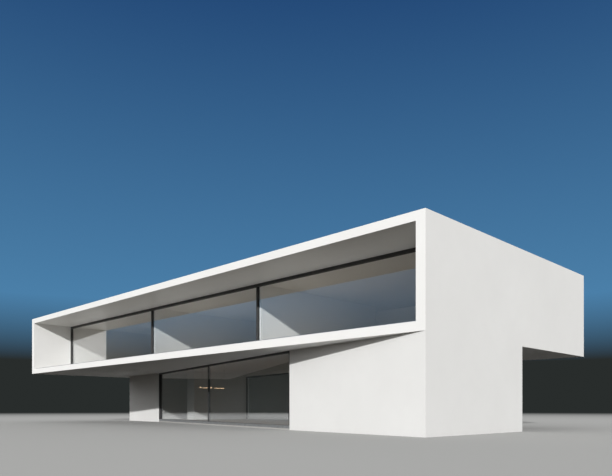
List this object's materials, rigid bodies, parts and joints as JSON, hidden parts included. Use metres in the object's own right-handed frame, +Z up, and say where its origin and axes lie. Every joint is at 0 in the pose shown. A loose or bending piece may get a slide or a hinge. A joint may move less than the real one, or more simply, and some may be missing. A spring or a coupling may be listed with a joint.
{
  "type": "detached house",
  "caption": "Flat-roofed house: a long white picture-frame upper storey over a shorter skewed ground storey, with full-height glazing and a sliding terrace leaf.",
  "frame": {"origin": "centre of the house's bounding box at ground level", "axes": "+X along the front towards its near right-hand end, +Y from the front towards the back, +Z up"},
  "size_m": [28.91, 11.84, 6.4],
  "materials": {
    "white_render": "matt white mineral render",
    "inner_plaster": "matt white plaster",
    "ground_concrete": "smooth concrete",
    "paving_stone": "honed pale paving",
    "roof_membrane": "matt sheet membrane",
    "dark_frame": "black powder coat",
    "sill_metal": "mill-finished, trodden",
    "window_glass": "clear reflecting glass",
    "floor_boards": "oiled boards",
    "steel_fittings": "brushed",
    "lamp_metal": "matt black",
    "lamp_opal": "opal, lit warm white"
  },
  "bodies": {
    "root": {"upper_floor_slab": "white_render", "roof_slab": "white_render", "parapet": "white_render", "right_end_wall": "white_render", "left_end_wall": "white_render", "rear_sill_wall": "white_render", "rear_piers": "white_render", "right_side_wall": "white_render", "front_right_wall": "white_render", "front_left_wall": "white_render", "left_side_wall": "white_render", "rear_wall_right": "white_render", "rear_wall_left": "white_render", "partitions": "inner_plaster", "core_front_wall": "inner_plaster", "core_side_walls": "inner_plaster", "hall_partition": "inner_plaster", "ground_slab": "ground_concrete", "loggia_paving": "paving_stone", "roof_covering": "roof_membrane", "upper_head_rail": "dark_frame", "upper_sill_rail": "dark_frame", "upper_posts": "dark_frame", "rear_window_rails": "dark_frame", "rear_window_posts": "dark_frame", "garden_rails": "dark_frame", "garden_posts": "dark_frame", "terrace_head_rail": "dark_frame", "terrace_jambs": "dark_frame", "fixed_leaf_frame": "dark_frame", "terrace_sill": "sill_metal", "upper_glass_right": "window_glass", "upper_glass_middle": "window_glass", "upper_glass_left": "window_glass", "rear_window_glass": "window_glass", "garden_glass": "window_glass", "fixed_leaf_glass": "window_glass", "bedroom_floor": "floor_boards", "ground_floor": "floor_boards", "lamp_frame": "lamp_metal", "lamp_globes_and_tubes": "lamp_opal"},
    "sliding_leaf": {"sliding_leaf_frame": "dark_frame", "sliding_leaf_glass": "window_glass", "leaf_rollers": "steel_fittings", "leaf_handle": "steel_fittings"}
  },
  "joints": [
    {"name": "leaf_slide", "type": "slide", "parent": "root", "child": "sliding_leaf", "axis": [-0.9697, 0.2445, 0], "range_m": [0, 8]}
  ]
}
